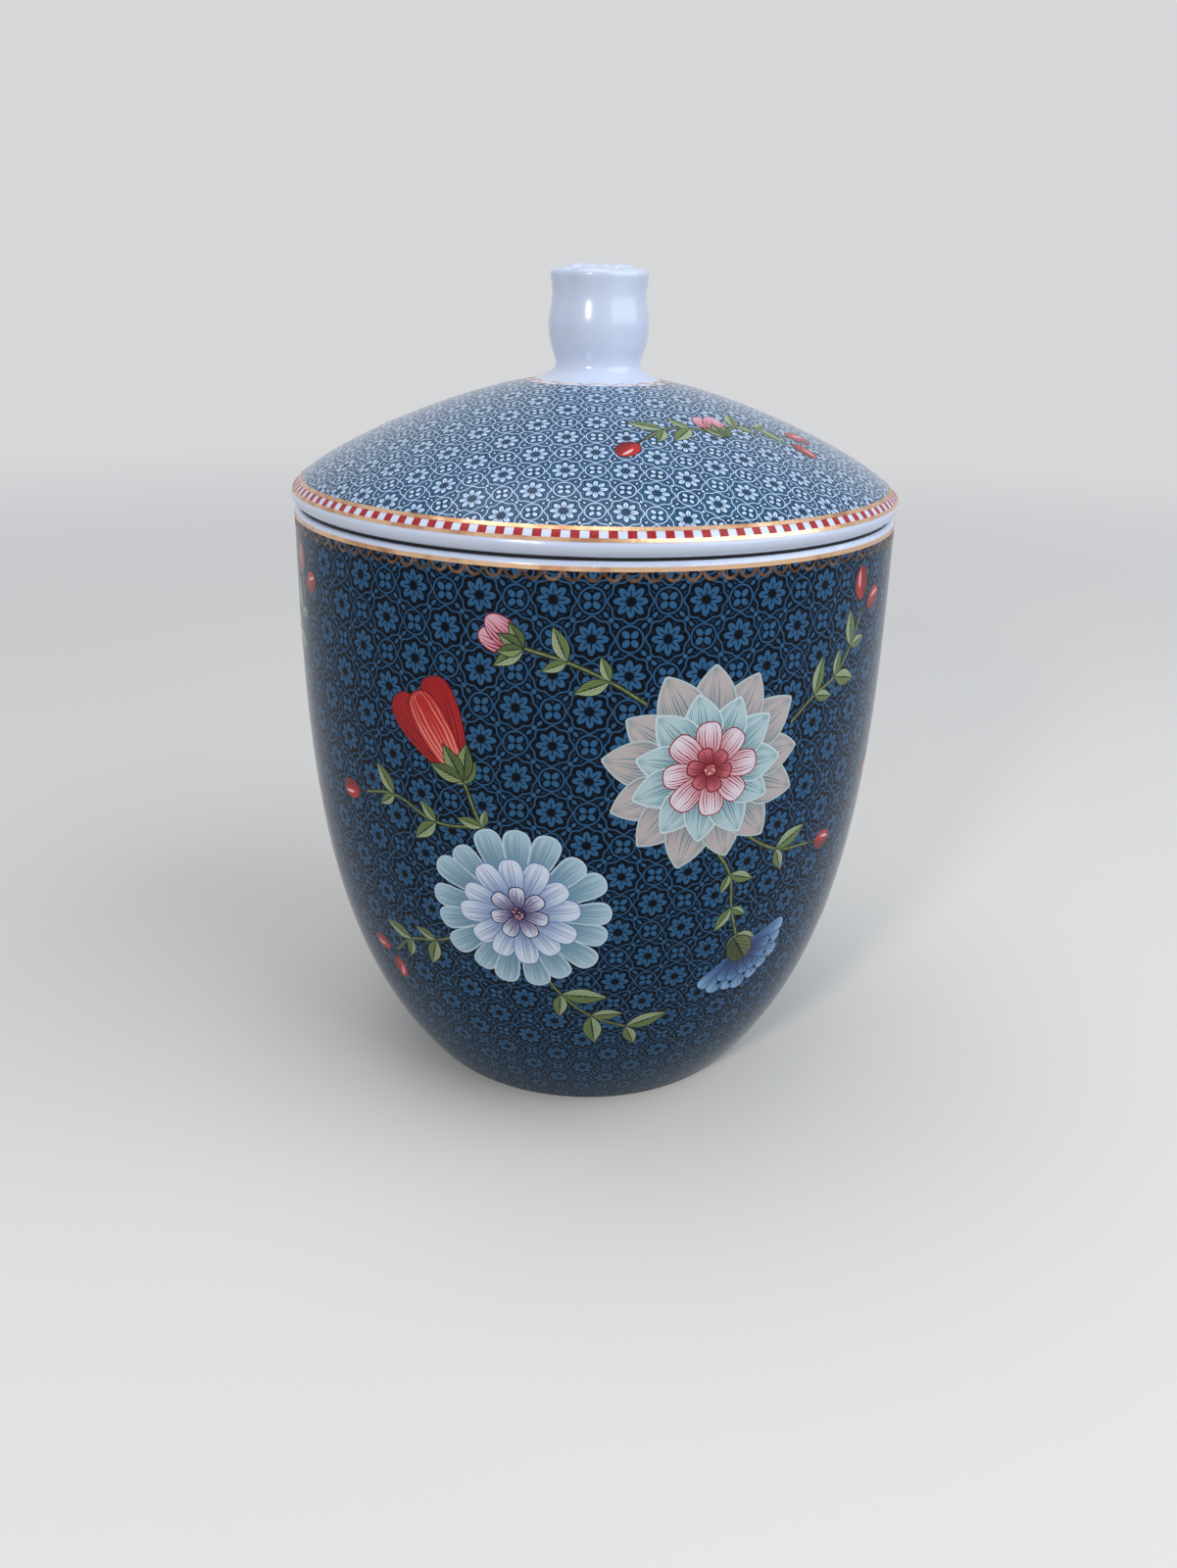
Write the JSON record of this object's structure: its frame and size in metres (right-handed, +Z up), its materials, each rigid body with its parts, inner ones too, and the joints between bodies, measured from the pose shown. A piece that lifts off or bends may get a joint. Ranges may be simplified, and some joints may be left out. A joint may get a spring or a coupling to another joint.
{
  "type": "storage jar",
  "caption": "Round porcelain storage jar with a domed lid, a moulded flower knob and a soft sealing ring under the lid.",
  "frame": {"origin": "centre of the foot ring's resting plane", "axes": "+Z up along the jar's axis towards the knob; -Y is the side that faces the viewer in the reference view"},
  "size_m": [0.1518, 0.1518, 0.2064],
  "materials": {
    "body_porcelain": "glossy white glaze under a printed blue ground",
    "lid_porcelain": "glossy white glaze under a printed slate blue ground",
    "knob_porcelain": "glossy white glaze",
    "seal_silicone": "soft dark silicone"
  },
  "bodies": {
    "jar": {"jar_body": "body_porcelain"},
    "seal": {"seal_ring": "seal_silicone"},
    "lid": {"lid": "lid_porcelain", "knob": "knob_porcelain"}
  },
  "joints": [
    {"name": "lid_lift", "type": "slide", "parent": "jar", "child": "seal", "axis": [0, 0, 1], "range_m": [0, 0.06]},
    {"name": "lid_turn", "type": "hinge", "parent": "seal", "child": "lid", "pos_m": [0, 0, 0.1511], "axis": [0, 0, 1], "continuous": true}
  ]
}
